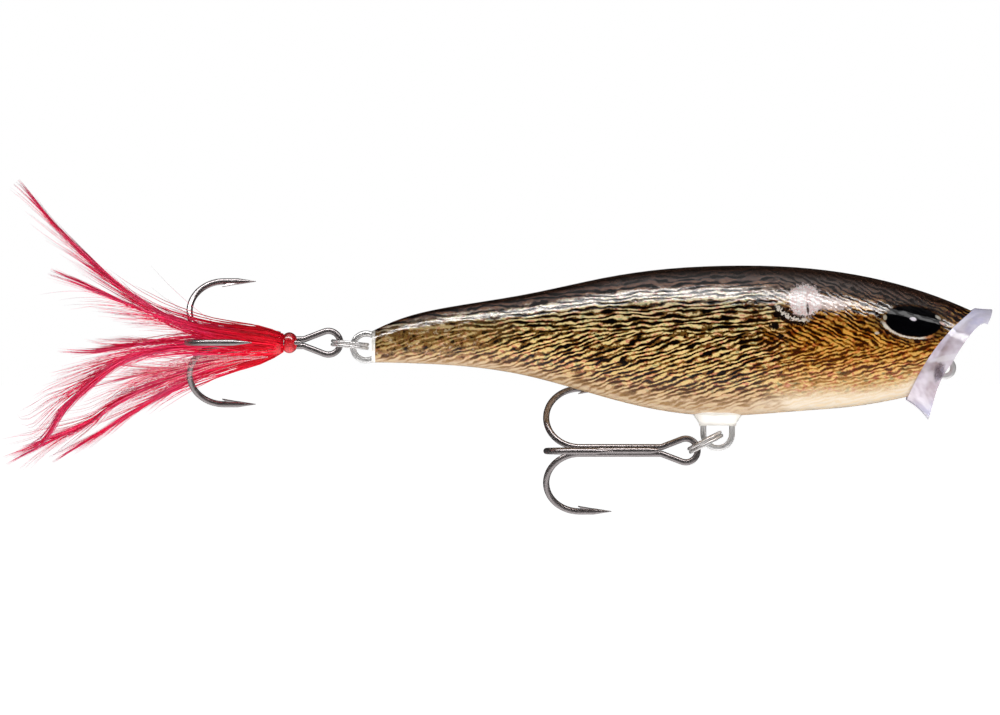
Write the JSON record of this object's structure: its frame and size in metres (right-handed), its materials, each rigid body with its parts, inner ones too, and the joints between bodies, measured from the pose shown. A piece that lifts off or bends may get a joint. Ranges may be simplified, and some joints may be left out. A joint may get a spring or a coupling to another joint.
{
  "type": "topwater popper",
  "caption": "Surface fishing lure: a slim round-bellied body with a clear cupped face, a line-tie eye, treble hooks on split rings under the belly and at the tail, and a feathered tail.",
  "frame": {"origin": "centre of the line-tie eye at the nose", "axes": "+X towards the nose, +Z towards the lure's back, -Y towards its right side"},
  "size_m": [0.1427, 0.0195, 0.0485],
  "materials": {
    "lacquered_wood": "printed fur pattern under clear gloss lacquer",
    "stainless_wire": "drawn, bright",
    "lead": "cast, dull",
    "clear_plastic": "clear, polished",
    "white_plastic": "milky, moulded",
    "nickel_ring": "nickel plated",
    "black_nickel": "black nickel plated",
    "red_lacquer": "thick gloss lacquer",
    "red_thread": "wound thread",
    "red_feather": "dyed hackle",
    "flash": "sparkling film strands"
  },
  "bodies": {
    "lure": {"body_left_half": "lacquered_wood", "body_right_half": "lacquered_wood", "through_wire": "stainless_wire", "belly_ballast": "lead", "tail_ballast": "lead", "cup_face": "clear_plastic", "belly_hanger_pedestal": "white_plastic", "tail_plate": "white_plastic"},
    "belly_ring": {"belly_split_ring": "nickel_ring"},
    "belly_treble": {"belly_treble_double_hook": "black_nickel", "belly_treble_single_hook": "black_nickel"},
    "tail_ring": {"tail_split_ring": "nickel_ring"},
    "tail_treble": {"tail_treble_double_hook": "black_nickel", "tail_treble_single_hook": "black_nickel", "head_bead": "red_lacquer", "thread_wrap": "red_thread", "flash_strands": "flash", "feather_top_long": "red_feather", "feather_top_short": "red_feather", "feather_middle": "red_feather", "feather_low_inner": "red_feather", "feather_low_broad": "red_feather", "feather_low_outer": "red_feather", "feather_under": "red_feather"}
  },
  "joints": [
    {"name": "belly_ring_swing", "type": "hinge", "parent": "lure", "child": "belly_ring", "pos_m": [-0.0347, 0, -0.01073], "axis": [0, 0, 1], "range_deg": [-60, 0]},
    {"name": "belly_treble_pitch", "type": "hinge", "parent": "belly_ring", "child": "belly_treble", "pos_m": [-0.03704, 0, -0.01198], "axis": [0, -1, 0], "range_deg": [0, 110]},
    {"name": "tail_ring_swing", "type": "hinge", "parent": "lure", "child": "tail_ring", "pos_m": [-0.08595, 0, 0.00335], "axis": [0, 0, 1], "range_deg": [-70, 70]},
    {"name": "tail_treble_pitch", "type": "hinge", "parent": "tail_ring", "child": "tail_treble", "pos_m": [-0.08893, 0, 0.00366], "axis": [0, 1, 0], "range_deg": [-90, 90]}
  ]
}
